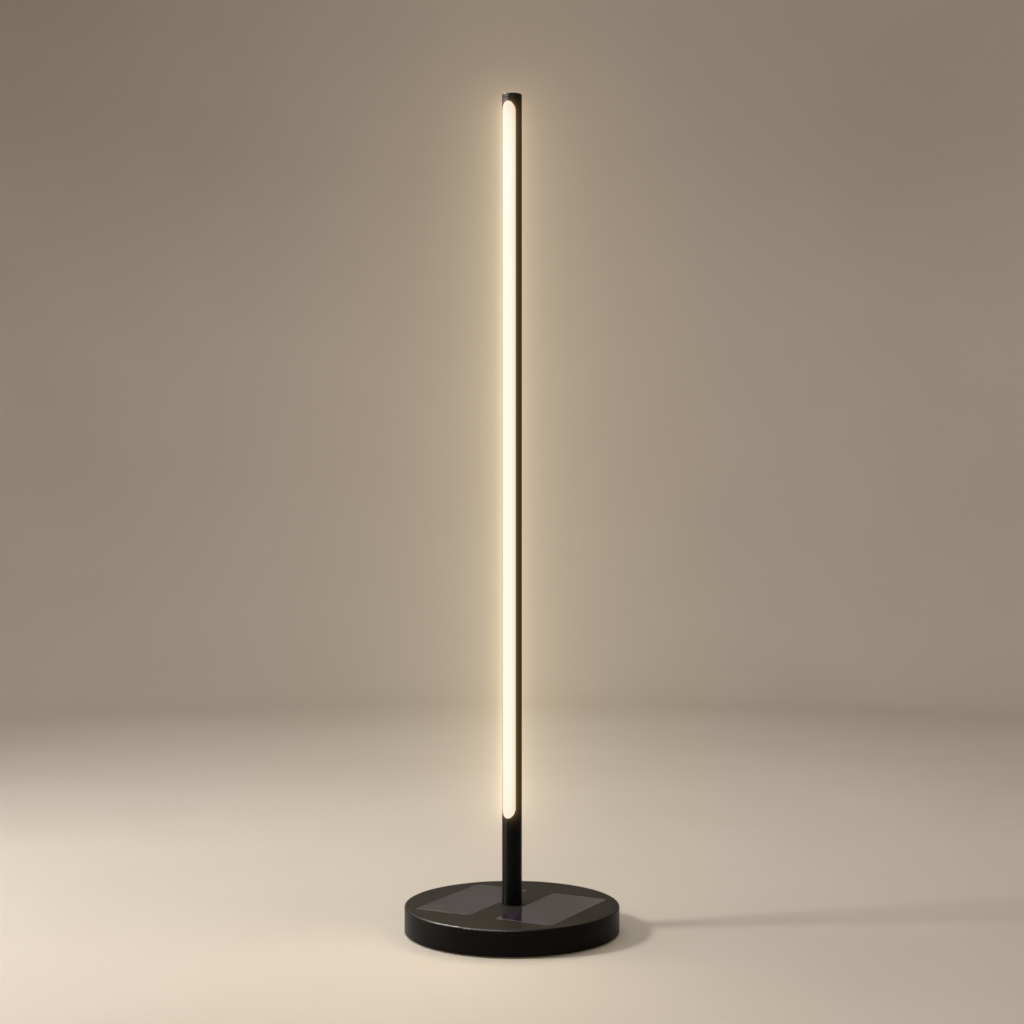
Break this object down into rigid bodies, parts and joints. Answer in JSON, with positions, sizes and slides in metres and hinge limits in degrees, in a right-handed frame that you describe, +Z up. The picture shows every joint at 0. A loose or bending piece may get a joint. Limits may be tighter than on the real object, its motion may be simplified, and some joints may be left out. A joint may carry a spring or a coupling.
{
  "type": "outdoor floor lamp",
  "caption": "Solar outdoor floor lamp: a slim round pole with a tall opal light down its front, on a weighted disc base with solar panels set into the top.",
  "frame": {"origin": "on the floor under the pole axis, at the centre of the round base", "axes": "+Z up along the pole; -Y is the front, where the lens faces; the solar panels lie at -X and +X; +Y is the back, with the button and the charging port"},
  "size_m": [0.308, 0.308, 1.2],
  "materials": {
    "housing_paint": "satin",
    "zinc_steel": "satin",
    "screw_steel": "satin",
    "black_rubber": "matte",
    "ballast_iron": "matte",
    "bare_aluminium": "satin",
    "opal_lens": "satin",
    "white_board": "satin",
    "led_phosphor": "satin",
    "white_plastic": "matte",
    "panel_glass": "polished",
    "solar_cells": "satin",
    "circuit_board": "satin",
    "panel_backing": "satin",
    "tinned_copper": "satin",
    "grey_seal": "matte",
    "black_lead": "matte",
    "red_lead": "matte",
    "battery_wrap": "satin",
    "standoff_brass": "satin",
    "board_parts": "matte",
    "switch_plastic": "matte",
    "button_plastic": "satin",
    "status_lens": "satin"
  },
  "bodies": {
    "lamp": {"base_housing": "housing_paint", "base_plate": "zinc_steel", "plate_gasket": "black_rubber", "plate_screws": "screw_steel", "rubber_feet": "black_rubber", "ballast": "ballast_iron", "pole_tube": "housing_paint", "pole_spigot": "bare_aluminium", "spigot_seal": "black_rubber", "spigot_washer": "zinc_steel", "spigot_nut": "zinc_steel", "pole_set_screws": "screw_steel", "lens": "opal_lens", "led_carrier": "bare_aluminium", "led_board": "white_board", "led_chips": "led_phosphor", "carrier_foot": "white_plastic", "top_cap": "housing_paint", "cap_seal": "black_rubber", "cap_screw": "screw_steel", "left_panel_glass": "panel_glass", "left_panel_cells": "solar_cells", "left_panel_board": "panel_backing", "left_panel_seal": "grey_seal", "right_panel_glass": "panel_glass", "right_panel_cells": "solar_cells", "right_panel_board": "panel_backing", "right_panel_seal": "grey_seal", "panel_tabs": "tinned_copper", "panel_leads": "black_lead", "led_lead": "black_lead", "battery_lead": "red_lead", "battery_tray": "white_plastic", "battery_cells": "battery_wrap", "tray_screws": "screw_steel", "control_board": "circuit_board", "board_standoffs": "standoff_brass", "board_screws": "screw_steel", "board_parts": "board_parts", "usb_socket": "zinc_steel", "switch_body": "switch_plastic", "status_lens": "status_lens", "door_pin": "screw_steel"},
    "button": {"power_button": "button_plastic", "switch_plunger": "white_plastic", "button_seal": "black_rubber"},
    "door": {"port_door": "button_plastic", "door_seal": "grey_seal"}
  },
  "joints": [
    {"name": "button_press", "type": "slide", "parent": "lamp", "child": "button", "axis": [0, -1, 0], "range_m": [0, 0.0012], "stiffness_N_per_m": 1500, "springref_m": -0.0004},
    {"name": "door_hinge", "type": "hinge", "parent": "lamp", "child": "door", "pos_m": [-0.014, 0.1506, 0.02893], "axis": [1, 0, 0], "range_deg": [0, 100]}
  ]
}
